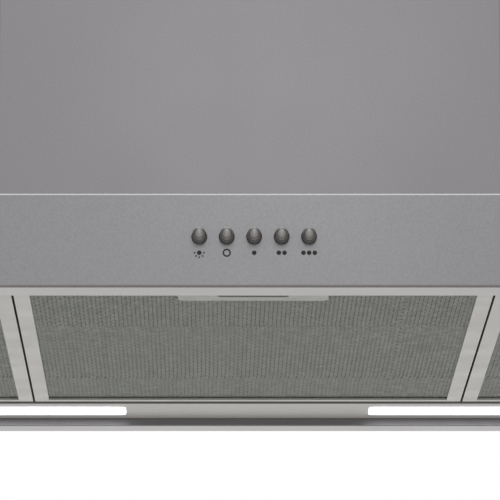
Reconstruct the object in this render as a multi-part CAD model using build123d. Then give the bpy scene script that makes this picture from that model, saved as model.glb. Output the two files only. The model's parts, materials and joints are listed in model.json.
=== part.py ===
from build123d import *
import math
import os

# A chimney range hood. Millimetres, +X to the right seen from the front, +Y to the wall, +Z up.
# The origin is on the wall plane, in the middle of the hood's width, level with its bottom rim.

# Canopy
canopy_width = 900.0
canopy_depth = 500.0
canopy_height = 56.0
sheet = 0.8               # thickness of the folded steel sheet
bend_radius = 1.5         # outer radius of the long bends
small_bend = 1.2          # outer radius of the small bends
back_sheet = 1.0          # thickness of the back panel
front_flange = 25.0       # bottom flange behind the front panel
side_flange = 21.0        # bottom flange at each side, up to the first filter's place
rear_rim = 20.8           # depth of the rim along the wall
rim_upstand = 12.0        # height of the fold in front of the rear rim
top_lip = 15.0            # width of the flange round the top opening
recess = 5.0              # filters and lamp panel lie this far above the rim
seam_gap = 0.3            # gap where one sheet part sits inside another

# Grease filters
filter_sheet = 0.8
filter_lip = 1.4          # thickness of the hemmed bottom lip
filter_bar = 9.6          # width of the frame's front and side bars
filter_rear_bar = 6.6
filter_thickness = 9.0
filter_gap = 1.2          # gap between two filters
filter_front_gap = 1.5    # gap between the latch rail and a filter
filter_rear_gap = 8.1     # gap between a filter and the lamp panel
net_thickness = 0.6
net_columns = 15
net_rows = 9
net_open = 0.80           # open share of the net's pitch
core_gap = 0.2

# Filter hinge, along the filter's rear edge
hinge_setback = 3.2       # from the lamp panel's front to the hinge line
hinge_height = 4.0        # hinge line above the filter's lower face
hinge_pin_radius = 1.5
hinge_clearance = 0.1
hinge_offset = 90.0       # from the filter's middle to each clip
clip_width = 10.0
clip_wall = 1.0
clip_mouth = 0.5          # from the hinge line up to the hook's opening
clip_height = 9.0
ear_gap = 2.0             # gap between a clip and the ears beside it
ear_width = 2.0
ear_radius = 2.8

# Filter handle and latch
handle_width = 89.6
handle_depth = 31.6
handle_plate = 1.0
handle_corner = 4.0
slot_width = 42.4
slot_depth = 19.4
slot_corner = 3.5
slot_inset = 1.4          # plate left in front of the finger slot
cup_inset = 2.0           # from the plate's edge to the cup's wall
cup_wall = 0.8
cup_rear_inset = 1.2
latch_travel = 6.0
slider_thickness = 1.2
slider_depth = 15.0
slider_front = 12.2       # from the filter's front wall to the slider
slider_gap = 0.4
guide_width = 4.0
guide_thickness = 0.7
tab_width = 36.0
tab_setback = 9.5         # from the slider's front to the finger tab
blade_width = 28.0
blade_thickness = 0.5
blade_reach = 3.3         # flat of the blade beyond the filter's front wall
blade_tip = 2.5           # length of the bent tip
blade_rise = 1.8          # rise of the bent tip
blade_lap = 4.0           # blade length that lies on the slider
latch_gap = 0.3           # blade above the latch rail
latch_rail_setback = 0.7  # from the flange's edge to the rail
latch_rail_depth = 8.3
latch_spring_radius = 2.0
spring_wire = 0.5
latch_spring_turns = 6
peg_radius = 1.2
peg_length = 2.6
end_play = 0.2            # free length left at a spring's ends

# Lamps
lamp_panel_front = 80.0   # from the wall to the lamp panel's front
lamp_panel_fold = 15.0
lamp_panel_bend = 1.8     # outer radius of its two bends
lens_inner = 82.4         # from the hood's middle to each lens
lens_length = 280.0
lens_width = 28.0
lens_front = 13.6         # from the lamp panel's front to the lens
lens_corner = 3.5
lens_proud = 0.4
lens_rim = 2.5
lens_wall = 1.2
lens_height = 4.9
lens_fit = 0.2
board_thickness = 1.6
chip_count = 14
chip_size = 3.5
chip_height = 0.8

# Buttons
button_pitch = 16.0
button_height = 30.0      # above the rim
button_base_radius = 4.35
button_face_radius = 3.6
button_proud = 9.3
button_dome = 1.0
button_edge = 0.4
button_travel = 3.0
button_clearance = 0.3
button_collar_radius = 6.0
button_collar = 1.2
button_stem_radius = 2.0
housing_width = 100.0
housing_low = 16.0
housing_high = 50.0
housing_depth = 25.0
housing_front = 2.0
housing_wall = 1.6
housing_web = 1.2
web_place = 13.0          # from the housing's front to its inner web
button_spring_radius = 3.2
button_spring_turns = 5
switch_size = 6.0
switch_height = 4.3
boss_radius = 3.5
boss_length = 8.0
housing_ear = 12.0

# Flue covers
flue_side_room = 36.0     # from the motor box's side to the flue cover's outer face
flue_front_room = 15.0    # from the motor box's front to the flue cover's outer face
flue_wall_gap = 1.0
flue_flange = 12.0
lower_flue_height = 500.0
upper_flue_height = 500.0
upper_flue_gap = 0.8      # gap between the two covers
upper_flue_rest = 72.0    # upper cover's lower edge above the canopy top, pushed down
vent_count = 6
vent_length = 44.0
vent_width = 5.0
vent_pitch = 10.0
vent_top = 12.0
bracket_sheet = 1.5
bracket_height = 22.0
bracket_arm = 12.0
bracket_tab = 30.0
bracket_drop = 20.0       # from the upper cover's top to the bracket's top
bracket_hole_spacing = 200.0

# Motor box, blower and duct
inlet_radius = 100.0
guard_rim = 8.0
guard_thickness = 1.0
guard_bar = 2.0
guard_bars = 15
box_width = 250.0
box_depth = 240.0
box_height = 290.0
box_flange = 12.0
box_rear = 15.0           # from the wall to the motor box
scroll_width = 124.0
scroll_wall = 2.5
scroll_radius = 100.0     # largest of the scroll's four quarter arcs
scroll_step = 8.0         # each quarter arc is this much smaller
scroll_rear = 39.0        # from the wall to the scroll's rear side
scroll_height = 200.0     # scroll's middle above the rim
throat = 100.0
eye_radius = 52.0
eye_lip = 5.5
outlet_width = 160.0      # flange on the blower housing, under the motor box's top
outlet_depth = 140.0
outlet_radius = 66.0      # hole in the motor box's top
outlet_screw_x = 72.0     # from the outlet's middle to each screw
outlet_screw_y = 62.0
wheel_radius = 62.0
wheel_blade = 10.0
wheel_half_width = 52.0
wheel_disc = 2.0
wheel_blades = 32
blade_sheet = 1.2
wheel_boss_radius = 10.0
wheel_boss = 11.0
shaft_radius = 4.0
shaft_length = 50.0
shaft_clearance = 0.05
motor_radius = 42.0
motor_start = 8.0
motor_end = 60.0
motor_boss_radius = 12.0
bush_radius = 5.0
bush_circle = 64.0
bush_height = 4.0
bracket_plate = 2.0
bracket_hub = 30.0
duct_radius = 74.5
duct_wall = 2.0
duct_length = 57.0
duct_plate = 3.0
duct_plate_depth = 156.0
duct_web = 1.2            # bar across the spigot, between the flap pins
duct_web_height = 8.0
flap_height = 14.0
flap_thickness = 2.0
flap_clearance = 1.5
flap_gap = 0.3
flap_pin_radius = 1.25
flap_pin_clearance = 0.05
flap_pin_offset = 4.0
knuckle_radius = 3.0
knuckle_length = 18.0
ledge_width = 4.0
ledge_height = 1.5

# Small parts
wall_hole_radius = 4.0
wall_hole_spacing = 400.0
wall_hole_height = 38.0
key_spacing = 640.0
key_radius = 6.0
key_slot = 7.0
key_rise = 10.0
screw_radius = 2.0
screw_hole_clearance = 0.2
screw_head_radius = 3.8
screw_head_height = 2.2
screw_length = 8.0
driver_size = (150.0, 32.0, 20.0)
driver_place = (245.0, -60.0)
terminal_size = (80.0, 46.0, 28.0)
terminal_place = (-300.0, -65.0)
capacitor_radius = 14.0
capacitor_length = 52.0
capacitor_place = (-205.0, -60.0)
gland_gap = 3.0           # from the motor box's flange to the gland
gland_y = -60.0
gland_radius = 8.0
gland_bore = 3.75
gland_height = 22.0
gland_nut = 3.5
gland_collar = 5.0

# Places worked out from the sizes above
front = -canopy_depth
shell_rear = -back_sheet
flange_edge = front + front_flange
rim_front = -rear_rim
filter_pitch = (canopy_width - 2 * side_flange) / 3
filter_width = filter_pitch - filter_gap
rail_rear = flange_edge - latch_rail_setback
filter_front = rail_rear + filter_front_gap
lamp_front = -lamp_panel_front
filter_rear = lamp_front - filter_rear_gap
filter_top = recess + filter_thickness
hinge_y = lamp_front - hinge_setback
hinge_z = recess + hinge_height
bar_rear = filter_front + filter_bar
handle_front = bar_rear + core_gap
handle_rear = handle_front + handle_depth
top_under = canopy_height - 2 * sheet
top_face = canopy_height - sheet
opening_half = canopy_width / 2 - side_flange
flat_half = canopy_width / 2 - bend_radius - seam_gap
slider_low = recess + 4.0
blade_low = slider_low + slider_thickness
blade_high = blade_low + blade_thickness
rail_top = blade_low - latch_gap
net_low = recess + filter_lip
net_high = net_low + net_thickness
box_top = top_face + box_height
scroll_y = -scroll_rear - scroll_radius
wheel_y = scroll_y - scroll_step / 2
wheel_z = scroll_height - scroll_step / 2
inlet_y = -box_rear - box_depth / 2
flue_width = box_width + 2 * flue_side_room
flue_depth = box_rear + box_depth + flue_front_room
gland_place = (box_width / 2 + box_flange + gland_gap + gland_radius, gland_y)
duct_y = scroll_y + scroll_radius - throat / 2
duct_base = box_top + duct_plate
flap_z = duct_base + flap_height
flap_pin_reach = duct_radius - duct_wall / 2
boss_place = (housing_width + housing_ear) / 2
boss_end = front + sheet + boss_length
screw_end = boss_end + housing_front - screw_length - screw_hole_clearance
side_names = ("left", "middle", "right")
button_names = ("light", "off", "low", "medium", "high")


# A box from its lowest and highest values along X, Y and Z
def block(x, y, z):
    middle = Pos((x[0] + x[1]) / 2, (y[0] + y[1]) / 2, (z[0] + z[1]) / 2)
    return middle * Box(x[1] - x[0], y[1] - y[0], z[1] - z[0])


# A span of one length about a middle value
def about(middle, length):
    return (middle - length / 2, middle + length / 2)


# A round bar along Z, from low to high
def upright(x, y, radius, low, high):
    return Pos(x, y, (low + high) / 2) * Cylinder(radius, high - low)


# A round bar along X, from left to right
def crosswise(y, z, radius, left, right):
    return Pos((left + right) / 2, y, z) * Rot(0, 90, 0) * Cylinder(radius, right - left)


# A round bar along Y, from near to far
def lengthwise(x, z, radius, near, far):
    return Pos(x, (near + far) / 2, z) * Rot(90, 0, 0) * Cylinder(radius, far - near)


# Edges of a solid that lie along an axis, at given places on the other two
def edges_at(solid, axis, **places):
    chosen = solid.edges().filter_by(axis)
    for name, values in places.items():
        chosen = [e for e in chosen if any(abs(getattr(e.center(), name) - v) < 0.01 for v in values)]
    return chosen


# A coil spring along Z from 0: a round wire on a helix
def coil(radius, wire, length, turns):
    path = Helix((length - wire) / turns, length - wire, radius)
    start = Plane(origin=path @ 0, z_dir=path % 0)
    return Pos(0, 0, wire / 2) * sweep(start * Circle(wire / 2), path=path)


# Folded shell: front, sides, bottom flanges and rear rim, with button holes and two welded studs
def make_canopy_shell():
    half = canopy_width / 2
    outer = block((-half, half), (front, shell_rear), (0, canopy_height))
    bends = edges_at(outer, Axis.Y, X=(-half, half)) + edges_at(outer, Axis.X, Y=(front,))
    outer = fillet(bends + edges_at(outer, Axis.Z, Y=(front,)), bend_radius)
    inside = half - sheet
    inner = block((-inside, inside), (front + sheet, 1), (sheet, canopy_height - sheet))
    near = front + sheet
    bends = edges_at(inner, Axis.Y, X=(-inside, inside)) + edges_at(inner, Axis.X, Y=(near,))
    inner = fillet(bends + edges_at(inner, Axis.Z, Y=(near,)), bend_radius - sheet)
    bottom = block((-opening_half, opening_half), (flange_edge, rim_front), (-1, sheet + 1))
    top_half = half - top_lip
    top = block((-top_half, top_half), (front + top_lip, 1), (top_face - 1, canopy_height + 1))
    shell = outer - inner - bottom - top
    bend = small_bend / 2
    shell = shell - block((-opening_half, opening_half), (rim_front - 1, rim_front + bend), (-1, bend))
    upstand = block((-flat_half, flat_half), (rim_front, rim_front + sheet), (0, rim_upstand))
    shell = shell + fillet(edges_at(upstand, Axis.X, Y=(rim_front,), Z=(0,)), bend)
    for side in (-1, 1):
        across = sorted((side * opening_half, side * (opening_half + sheet)))
        shell = shell + block(across, (flange_edge, rim_front + sheet), (sheet / 2, rim_upstand))
        x = side * boss_place
        boss = lengthwise(x, button_height, boss_radius, near, boss_end)
        shell = shell + boss - lengthwise(x, button_height, screw_radius, screw_end, boss_end + 1)
    for index in range(len(button_names)):
        x = (index - 2) * button_pitch
        hole = lengthwise(x, button_height, button_base_radius + button_clearance, front - 1, front + 2)
        shell = shell - hole
    return shell


# Flat top, under the shell's lip, with the blower's inlet and the holes of what stands on it
def make_canopy_top():
    span = (front + bend_radius + seam_gap, shell_rear - seam_gap)
    plate = block((-flat_half, flat_half), span, (top_under, top_face))
    plate = plate - upright(0, inlet_y, inlet_radius, top_under - 1, top_face + 1)
    plate = plate - upright(*gland_place, gland_radius * 0.75 + seam_gap, top_under - 1, top_face + 1)
    for x, y in box_screw_places():
        plate = plate - upright(x, y, screw_radius + screw_hole_clearance, top_under - 1, top_face + 1)
    return plate


# Flat back, with two round holes and two keyholes for the wall
def make_back_panel():
    half = canopy_width / 2
    plate = block((-half, half), (-back_sheet, 0), (0, canopy_height))
    for side in (-1, 1):
        x = side * wall_hole_spacing / 2
        plate = plate - lengthwise(x, wall_hole_height, wall_hole_radius, -back_sheet - 1, 1)
        x = side * key_spacing / 2
        low = wall_hole_height - key_rise
        plate = plate - lengthwise(x, low, key_radius, -back_sheet - 1, 1)
        plate = plate - block(about(x, key_slot), (-back_sheet - 1, 1), (low, wall_hole_height))
        plate = plate - lengthwise(x, wall_hole_height, key_slot / 2, -back_sheet - 1, 1)
    return plate


# Lens outline, shared by the lens and its hole in the lamp panel
def lens_outline(side, grow, low, high):
    middle = side * (lens_inner + lens_length / 2)
    near = lamp_front + lens_front
    span = (near - grow, near + lens_width + grow)
    shape = block(about(middle, lens_length + 2 * grow), span, (low, high))
    return fillet(shape.edges().filter_by(Axis.Z), lens_corner + grow)


# Lamp panel behind the filters, folded up in front and at the rear, with a hole for each lens
def make_light_panel():
    half = opening_half - seam_gap
    rear = rim_front - seam_gap
    panel = block((-half, half), (lamp_front, rear), (recess, recess + sheet))
    fold = (recess, recess + lamp_panel_fold)
    panel = panel + block((-half, half), (lamp_front, lamp_front + sheet), fold)
    panel = panel + block((-half, half), (rear - sheet, rear), (recess, rim_upstand))
    panel = fillet(edges_at(panel, Axis.X, Y=(lamp_front, rear), Z=(recess,)), lamp_panel_bend)
    inner_edges = edges_at(panel, Axis.X, Y=(lamp_front + sheet, rear - sheet), Z=(recess + sheet,))
    panel = fillet(inner_edges, lamp_panel_bend - sheet)
    for side in (-1, 1):
        panel = panel - lens_outline(side, lens_fit, recess - 1, recess + sheet + 1)
    return panel


# Lamp lens: a diffuser through the panel, a rim on top of it and a wall that carries the board
def make_lamp_lens(side):
    seat = recess + sheet
    lens = lens_outline(side, 0, recess - lens_proud, seat)
    lens = fillet(lens.faces().sort_by(Axis.Z)[0].edges(), lens_proud * 0.7)
    lens = lens + lens_outline(side, lens_rim, seat, seat + lens_wall)
    wall = lens_outline(side, 0, seat, recess + lens_height)
    wall = wall - lens_outline(side, -lens_wall, seat + lens_wall, recess + lens_height + 1)
    return lens + wall


# Lamp boards: a plate on each lens wall, with a row of chips below it
def make_lamp_boards():
    low = recess + lens_height
    solids = []
    for side in (-1, 1):
        board = lens_outline(side, 0, low, low + board_thickness)
        middle = lamp_front + lens_front + lens_width / 2
        for index in range(chip_count):
            x = side * (lens_inner + lens_length * (index + 0.5) / chip_count)
            board = board + block(about(x, chip_size), about(middle, chip_size), (low - chip_height, low))
        solids.append(board)
    return solids


# Latch rail: a channel on the front flange, whose top the latch blades rest on
def make_latch_rail():
    across = (-flat_half, flat_half)
    web = block(across, (rail_rear - sheet, rail_rear), (sheet, rail_top))
    foot = block(across, (rail_rear - latch_rail_depth, rail_rear), (sheet, 2 * sheet))
    ledge = block(across, (rail_rear - latch_rail_depth, rail_rear), (rail_top - sheet, rail_top))
    return web + foot + ledge


# Middle of each filter along X
def filter_middle(index):
    return (index - 1) * filter_pitch


# Hinge clips: a plate on the lamp panel and an open hook under each hinge pin, two for each filter
def make_hinge_clips():
    solids = []
    inner = hinge_pin_radius + hinge_clearance
    outer = inner + clip_wall
    for index in range(3):
        for side in (-1, 1):
            span = about(filter_middle(index) + side * hinge_offset, clip_width)
            hook = crosswise(hinge_y, hinge_z, outer, *span)
            plate = block(span, (lamp_front - sheet, lamp_front), (hinge_z, hinge_z + clip_height))
            hook = hook + plate - crosswise(hinge_y, hinge_z, inner, span[0] - 1, span[1] + 1)
            mouth_z = (hinge_z + clip_mouth, hinge_z + outer + 1)
            hook = hook - block((span[0] - 1, span[1] + 1), (hinge_y - outer - 1, hinge_y), mouth_z)
            solids.append(hook)
    return solids


# Filter frame: a folded channel all round, with two pairs of ears that hold the hinge pins
def make_filter_frame(index):
    middle = filter_middle(index)
    half = filter_width / 2
    frame = block((middle - half, middle + half), (filter_front, filter_rear), (recess, filter_top))
    frame = fillet(frame.faces().sort_by(Axis.Z)[0].edges(), filter_sheet)
    inset = half - filter_sheet
    inside = (filter_front + filter_sheet, filter_rear - filter_sheet)
    frame = frame - block((middle - inset, middle + inset), inside, (net_low, filter_top - filter_sheet))
    inset = half - filter_bar
    inside = (bar_rear, filter_rear - filter_rear_bar)
    frame = frame - block((middle - inset, middle + inset), inside, (recess - 1, filter_top + 1))
    lip_edges = edges_at(frame, Axis.Y, X=(middle - inset, middle + inset), Z=(recess,))
    frame = fillet(lip_edges, filter_lip * 0.4)
    across = about(middle, blade_width + 2 * slider_gap)
    slit_z = (blade_low - latch_gap, blade_high + blade_rise + latch_gap)
    frame = frame - block(across, (filter_front - 1, filter_front + filter_sheet + 1), slit_z)
    for side in (-1, 1):
        clip = middle + side * hinge_offset
        reach = clip_width / 2 + ear_gap
        for edge in (clip - reach - ear_width, clip + reach):
            span = (edge, edge + ear_width)
            lug = block(span, (filter_rear - filter_sheet / 2, hinge_y), about(hinge_z, 2 * ear_radius))
            frame = frame + lug
            frame = frame + crosswise(hinge_y, hinge_z, ear_radius, *span)
        frame = frame + crosswise(hinge_y, hinge_z, hinge_pin_radius, clip - reach - 1, clip + reach + 1)
    return frame


# Room that the handle's cup takes out of the net and the core
def cup_room(middle, grow):
    half = handle_width / 2 - cup_inset + grow
    rear = handle_rear - cup_rear_inset + grow
    return block((middle - half, middle + half), (filter_front, rear), (recess, filter_top))


# Outer net: one sheet on the frame's lip, with staggered diamond gaps inside the window
def make_filter_net(index):
    middle = filter_middle(index)
    half = filter_width / 2 - filter_sheet - seam_gap
    near = filter_front + filter_sheet + seam_gap
    far = filter_rear - filter_sheet - seam_gap
    window_half = filter_width / 2 - filter_bar - core_gap
    window_near = bar_rear + core_gap
    pitch_x = 2 * window_half / net_columns
    pitch_y = (filter_rear - filter_rear_bar - core_gap - window_near) / net_rows
    room = handle_width / 2 + net_thickness
    gaps = []
    for row in range(2 * net_rows - 1):
        y = window_near + pitch_y * (row + 1) / 2
        shift = row % 2
        for column in range(net_columns - shift):
            x = -window_half + pitch_x * (column + 0.5 + shift / 2)
            if y - pitch_y / 2 < handle_rear + net_thickness and abs(x) - pitch_x / 2 < room:
                continue
            width = pitch_x * net_open / 2
            length = pitch_y * net_open / 2
            corners = [(x - width, y), (x, y - length), (x + width, y), (x, y + length)]
            gaps.append(make_face(Polyline(*corners, close=True)))
    sheet_face = Pos(0, (near + far) / 2) * Rectangle(2 * half, far - near)
    net = extrude(sheet_face - gaps, net_thickness)
    return Pos(middle, 0, net_low) * net - cup_room(middle, seam_gap)


# Packed core between the net and the frame's top lip
def make_filter_core(index):
    middle = filter_middle(index)
    half = filter_width / 2 - filter_sheet - seam_gap
    near = filter_front + filter_sheet + seam_gap
    far = filter_rear - filter_sheet - seam_gap
    top = filter_top - filter_sheet - core_gap
    core = block((middle - half, middle + half), (near, far), (net_high + core_gap, top))
    return core - cup_room(middle, seam_gap + core_gap)


# Handle: a plate with a finger slot under the net, and a cup above it that guides the slider
def make_filter_handle(index):
    middle = filter_middle(index)
    plate_low = recess + filter_lip - handle_plate - core_gap / 2
    plate_high = plate_low + handle_plate
    plate = block(about(middle, handle_width), (handle_front, handle_rear), (plate_low, plate_high))
    plate = fillet(edges_at(plate, Axis.Z, Y=(handle_rear,)), handle_corner)
    slot_front = handle_front + slot_inset
    slot = block(about(middle, slot_width), (slot_front, slot_front + slot_depth), (0, net_high))
    slot = fillet(slot.edges().filter_by(Axis.Z), slot_corner)
    half = handle_width / 2 - cup_inset
    rear = handle_rear - cup_rear_inset
    top = filter_top - filter_sheet - core_gap
    cup = block((middle - half, middle + half), (handle_front, rear), (plate_high, top))
    inset = half - cup_wall
    inside = (handle_front - 1, rear - cup_wall)
    cup = cup - block((middle - inset, middle + inset), inside, (plate_high, top - cup_wall))
    under = slider_low - slider_gap
    over = blade_low + slider_gap
    for side in (-1, 1):
        span = sorted((middle + side * inset, middle + side * (inset - guide_width)))
        cup = cup + block(span, (handle_front, rear - cup_wall), (under - guide_thickness, under))
        cup = cup + block(span, (handle_front, rear - cup_wall), (over, over + guide_thickness))
    peg_z = slider_low + slider_thickness / 2
    peg = lengthwise(middle, peg_z, peg_radius, rear - cup_wall - peg_length, rear - cup_wall)
    return plate - slot + cup + peg


# Latch slider: a plate in the cup, a finger tab below it and a peg for the spring
def make_latch_slider(index):
    middle = filter_middle(index)
    inset = handle_width / 2 - cup_inset - cup_wall - slider_gap
    near = filter_front + slider_front
    far = near + slider_depth
    slider = block((middle - inset, middle + inset), (near, far), (slider_low, blade_low))
    tab_low = recess + filter_lip + slider_gap
    tab_front = near + tab_setback
    tab = block(about(middle, tab_width), (tab_front, tab_front + slider_thickness), (tab_low, blade_low))
    peg = lengthwise(middle, slider_low + slider_thickness / 2, peg_radius, far, far + peg_length)
    return slider + tab + peg


# Latch blade: a leaf of spring steel on the slider, with its tip bent up beyond the latch rail's edge
def make_latch_blade(index):
    middle = filter_middle(index)
    rear = filter_front + slider_front + blade_lap
    bend = filter_front - blade_reach
    tip = bend - blade_tip
    outline = [(rear, blade_low), (bend, blade_low), (tip, blade_low + blade_rise),
               (tip, blade_high + blade_rise), (bend, blade_high), (rear, blade_high)]
    face = make_face(Plane.YZ * Polyline(*outline, close=True))
    return Pos(middle - blade_width / 2, 0, 0) * extrude(face, blade_width, dir=(1, 0, 0))


# Latch spring: a coil between the slider and the cup's rear wall
def make_latch_spring(index):
    near = filter_front + slider_front + slider_depth
    far = handle_rear - cup_rear_inset - cup_wall
    spring = coil(latch_spring_radius, spring_wire, far - near - end_play, latch_spring_turns)
    place = Pos(filter_middle(index), near + end_play / 2, slider_low + slider_thickness / 2)
    return place * Rot(-90, 0, 0) * spring


# Switch housing: a box behind the front panel with a guide and a web for each button, and two ears
def make_switch_housing():
    half = housing_width / 2
    near = front + sheet + seam_gap
    far = near + housing_depth
    housing = block((-half, half), (near, far), (housing_low, housing_high))
    inner_x = (-half + housing_wall, half - housing_wall)
    inner_z = (housing_low + housing_wall, housing_high - housing_wall)
    housing = housing - block(inner_x, (near + housing_front, far + 1), inner_z)
    housing = housing + block(inner_x, (near + web_place, near + web_place + housing_web), inner_z)
    for index in range(len(button_names)):
        x = (index - 2) * button_pitch
        guide = button_base_radius + button_clearance
        housing = housing - lengthwise(x, button_height, guide, near - 1, near + housing_front + 0.5)
        passage = button_stem_radius + button_clearance
        web = near + web_place
        housing = housing - lengthwise(x, button_height, passage, web - 1, web + housing_web + 1)
    for side in (-1, 1):
        span = sorted((side * (half - housing_wall / 2), side * (half + housing_ear)))
        ear = block(span, (boss_end, boss_end + housing_front), about(button_height, housing_ear))
        hole = screw_radius + screw_hole_clearance
        hole_end = boss_end + housing_front + 1
        housing = housing + ear
        housing = housing - lengthwise(side * boss_place, button_height, hole, boss_end - 1, hole_end)
    return housing


# Switch board at the rear of the housing, with a small switch behind each button
def make_switch_board():
    half = housing_width / 2 - housing_wall - seam_gap
    far = front + sheet + seam_gap + housing_depth
    near = far - board_thickness
    low = housing_low + housing_wall + seam_gap
    high = housing_high - housing_wall - seam_gap
    board = block((-half, half), (near, far), (low, high))
    for index in range(len(button_names)):
        across = about((index - 2) * button_pitch, switch_size)
        board = board + block(across, (near - switch_height, near), about(button_height, switch_size))
    return board


# Push button: a tapered, slightly domed cap, a collar that keeps it in the housing, and a stem
def make_button(index):
    near = front + sheet + seam_gap
    collar_near = near + housing_front + button_clearance
    collar_far = collar_near + button_collar
    stem_end = near + housing_depth - board_thickness - switch_height - button_travel - button_clearance
    face = front - button_proud
    rim = face + button_dome
    outline = Polyline((0, stem_end), (button_stem_radius, stem_end), (button_stem_radius, collar_far),
                       (button_collar_radius, collar_far), (button_collar_radius, collar_near),
                       (button_base_radius, collar_near), (button_base_radius, front),
                       (button_face_radius, rim))
    dome = TangentArc((0, face), (button_face_radius, rim), tangent=(1, 0))
    closing = Line((0, face), (0, stem_end))
    profile = make_face(outline + dome + closing)
    corner = profile.vertices().sort_by_distance((button_face_radius, rim, 0))[0]
    profile = fillet(corner, button_edge)
    return Pos((index - 2) * button_pitch, 0, button_height) * revolve(profile, Axis.Y)


# Return springs of the buttons, between each collar and the housing's web
def make_button_springs():
    near = front + sheet + seam_gap
    low = near + housing_front + button_clearance + button_collar + end_play / 2
    high = near + web_place - end_play / 2
    spring = coil(button_spring_radius, spring_wire, high - low, button_spring_turns)
    solids = []
    for index in range(len(button_names)):
        solids.append(Pos((index - 2) * button_pitch, low, button_height) * Rot(-90, 0, 0) * spring)
    return solids


# Flue cover: folded front and sides with a flange along each rear edge, open to the wall
def flue_cover(width, near, far, low, high):
    half = width / 2
    cover = block((-half, half), (near, far), (low, high))
    cover = fillet(edges_at(cover, Axis.Z, Y=(near,)), bend_radius)
    inner = block((-half + sheet, half - sheet), (near + sheet, far - sheet), (low - 1, high + 1))
    inner = fillet(edges_at(inner, Axis.Z, Y=(near + sheet,)), bend_radius - sheet)
    opening = half - flue_flange
    return cover - inner - block((-opening, opening), (far - 2 * sheet, far + 1), (low - 1, high + 1))


# Lower flue cover, standing on the canopy top
def make_lower_flue():
    return flue_cover(flue_width, -flue_depth, -flue_wall_gap, top_face, top_face + lower_flue_height)


# Width, front and rear of the upper flue cover, inside the lower one
def upper_flue_span():
    shrink = sheet + upper_flue_gap
    return flue_width - 2 * shrink, -flue_depth + shrink, -flue_wall_gap - shrink


# Upper flue cover, inside the lower one, with vent slots in its sides near the top
def make_upper_flue():
    width, near, far = upper_flue_span()
    low = top_face + upper_flue_rest
    high = low + upper_flue_height
    cover = flue_cover(width, near, far, low, high)
    for index in range(vent_count):
        y = (near + far) / 2 + (index - (vent_count - 1) / 2) * vent_pitch
        z_span = (high - vent_top - vent_length, high - vent_top)
        cover = cover - block((-width, width), about(y, vent_width), z_span)
    hole = screw_radius + screw_hole_clearance
    return cover - crosswise(*flue_screw_place(), hole, -width, width)


# Place of the two screws that hold the upper cover to its bracket
def flue_screw_place():
    high = top_face + upper_flue_rest + upper_flue_height
    return -bracket_arm - bracket_tab / 2, high - bracket_drop - bracket_height / 2


# Wall bracket of the upper flue cover: a plate on the wall and a stepped arm to each side
def make_flue_bracket():
    width, near, far = upper_flue_span()
    high = top_face + upper_flue_rest + upper_flue_height - bracket_drop
    z_span = (high - bracket_height, high)
    plate_half = width / 2 - flue_flange - 2
    side_half = width / 2 - sheet - seam_gap / 2
    screw_y, screw_z = flue_screw_place()
    bracket = block((-plate_half, plate_half), (-bracket_sheet, 0), z_span)
    for side in (-1, 1):
        arm = sorted((side * plate_half, side * (plate_half - bracket_sheet)))
        bracket = bracket + block(arm, (-bracket_arm, 0), z_span)
        step = sorted((side * (plate_half - bracket_sheet), side * side_half))
        bracket = bracket + block(step, (-bracket_arm, -bracket_arm + bracket_sheet), z_span)
        tab = sorted((side * (side_half - bracket_sheet), side * side_half))
        bracket = bracket + block(tab, (-bracket_arm - bracket_tab, -bracket_arm + bracket_sheet), z_span)
        bracket = bracket - crosswise(screw_y, screw_z, screw_radius, tab[0] - 1, tab[1] + 1)
        x = side * bracket_hole_spacing / 2
        bracket = bracket - lengthwise(x, screw_z, wall_hole_radius, -bracket_sheet - 1, 1)
    return bracket


# Two screws through the upper cover's sides into its bracket
def make_flue_screws():
    width = upper_flue_span()[0]
    y, z = flue_screw_place()
    right = Pos(width / 2, y, z) * Rot(0, 90, 0) * pan_screw()
    left = Pos(-width / 2, y, z) * Rot(0, -90, 0) * pan_screw()
    return [left, right]


# A pan-head screw along Z, its head's seat at 0 and its shank below
def pan_screw():
    head = Pos(0, 0, screw_head_height / 2) * Cylinder(screw_head_radius, screw_head_height)
    head = fillet(head.faces().sort_by(Axis.Z)[-1].edges(), screw_head_height * 0.4)
    groove = Pos(0, 0, screw_head_height) * Box(screw_radius * 2, screw_radius * 0.4, screw_head_height)
    cross = Pos(0, 0, screw_head_height) * Box(screw_radius * 0.4, screw_radius * 2, screw_head_height)
    shank = Pos(0, 0, -screw_length / 2) * Cylinder(screw_radius, screw_length)
    return head - groove - cross + shank


# Guard under the inlet: a ring with bars across it
def make_inlet_guard():
    span = (top_under - guard_thickness, top_under)
    outer = inlet_radius + guard_rim
    disc = upright(0, inlet_y, outer, *span)
    gap_width = 2 * (inlet_radius - guard_bar) / guard_bars
    gaps = upright(0, inlet_y, inlet_radius - guard_bar, span[0] - 1, span[1] + 1)
    for index in range(guard_bars - 1):
        y = inlet_y - inlet_radius + guard_bar + gap_width * (index + 1)
        gaps = gaps - block((-outer, outer), about(y, guard_bar), (span[0] - 2, span[1] + 2))
    return disc - gaps


# Places of the screws in the motor box's bottom flange
def box_screw_places():
    x = box_width / 2 + box_flange / 2
    near = -box_rear - box_depth
    return [(side * x, near + box_depth * share) for side in (-1, 1) for share in (0.2, 0.8)]


# Places of the screws through the duct adaptor's plate
def duct_screw_places():
    return [(sx * outlet_screw_x, duct_y + sy * outlet_screw_y) for sx in (-1, 1) for sy in (-1, 1)]


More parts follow.
